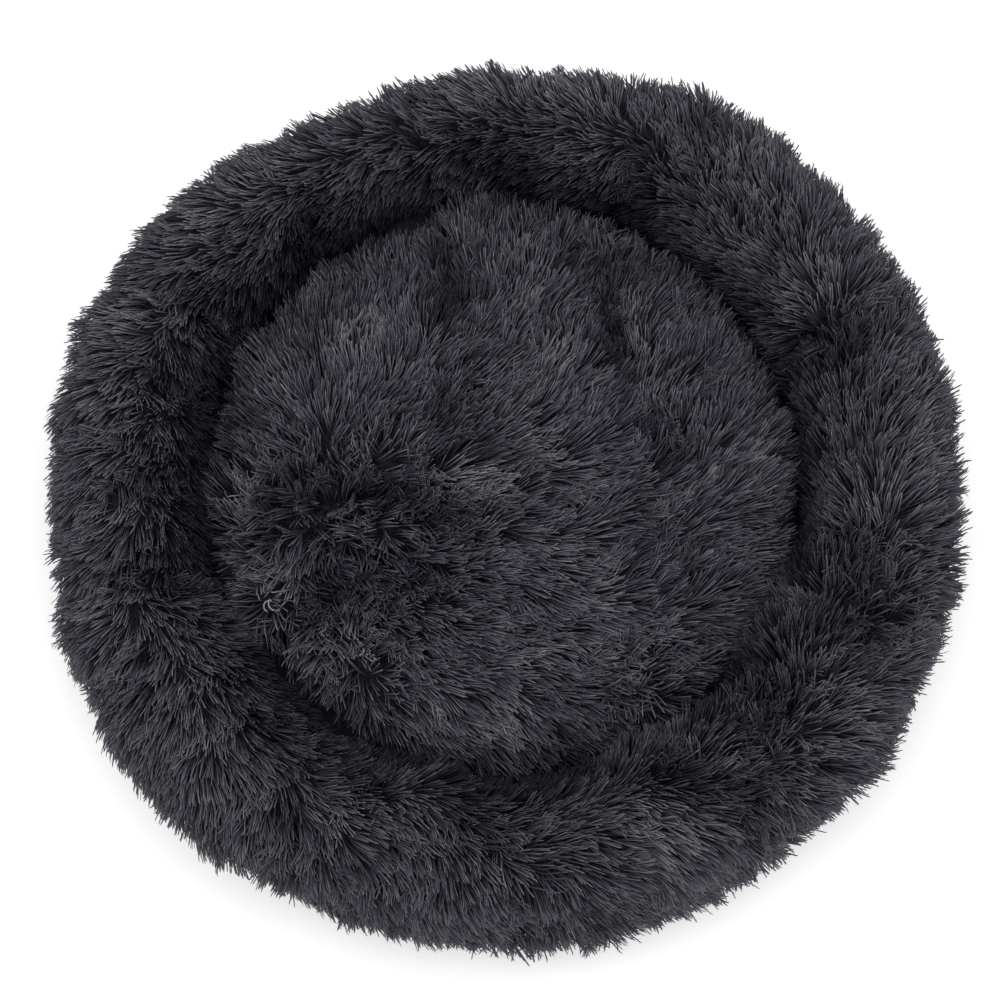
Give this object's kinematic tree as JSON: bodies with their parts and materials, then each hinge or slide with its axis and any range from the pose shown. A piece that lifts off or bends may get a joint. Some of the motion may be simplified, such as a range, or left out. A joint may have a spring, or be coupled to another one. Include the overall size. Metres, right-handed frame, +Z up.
{
  "type": "round plush pet bed",
  "caption": "Round long-pile plush pet bed: a ring bolster of sewn panels around a lift-out cushion, on a flat non-slip base with a zip in the rear base seam.",
  "frame": {"origin": "middle of the footprint, on the floor under the base", "axes": "+Z up out of the sleeping hollow, +Y to the rear, where the zip is, +X to the right"},
  "size_m": [0.5888, 0.5758, 0.1299],
  "materials": {
    "long_pile_plush": "long pile faux fur in dark charcoal, in pointed clumps, soft sheen",
    "nonwoven_liner": "white spunbonded nonwoven",
    "hollow_fibre": "white polyester hollow fibre",
    "oxford_base": "coated oxford cloth with rubber grip dots",
    "lining_cloth": "plain woven polyester lining",
    "zip_tape": "herringbone woven polyester tape",
    "zip_acetal": "moulded acetal",
    "zip_alloy": "die-cast zinc with black nickel finish"
  },
  "bodies": {
    "bed": {"bolster_panel_1": "long_pile_plush", "bolster_panel_2": "long_pile_plush", "bolster_panel_3": "long_pile_plush", "bolster_panel_4": "long_pile_plush", "bolster_panel_5": "long_pile_plush", "bolster_panel_6": "long_pile_plush", "bolster_panel_7": "long_pile_plush", "bolster_panel_8": "long_pile_plush", "bolster_panel_9": "long_pile_plush", "bolster_liner_upper": "nonwoven_liner", "bolster_liner_lower": "nonwoven_liner", "bolster_filling": "hollow_fibre", "base_panel": "oxford_base", "base_band": "oxford_base", "base_wadding": "hollow_fibre", "floor_panel": "lining_cloth", "zip_tape_upper": "zip_tape", "zip_tape_lower": "zip_tape", "zip_teeth_upper": "zip_acetal", "zip_teeth_lower": "zip_acetal", "zip_top_stop_upper": "zip_acetal", "zip_top_stop_lower": "zip_acetal", "zip_bottom_stop": "zip_acetal"},
    "cushion": {"cushion_top_panel": "long_pile_plush", "cushion_bottom_panel": "lining_cloth", "cushion_filling": "hollow_fibre"},
    "slider": {"zip_slider": "zip_alloy"},
    "pull": {"zip_pull": "zip_alloy"}
  },
  "joints": [
    {"name": "cushion_lift", "type": "slide", "parent": "bed", "child": "cushion", "axis": [0, 0, 1], "range_m": [0, 0.2]},
    {"name": "zip_travel", "type": "hinge", "parent": "bed", "child": "slider", "pos_m": [0, 0, 0], "axis": [0, 0, 1], "range_deg": [-59.7, 0], "deforming": ["zip_teeth_upper", "zip_teeth_lower"]},
    {"name": "pull_swing", "type": "hinge", "parent": "slider", "child": "pull", "pos_m": [-0.14294, 0.24251, 0.03349], "axis": [-0.1314, 0.223, 0.9659], "range_deg": [0, 168]}
  ]
}
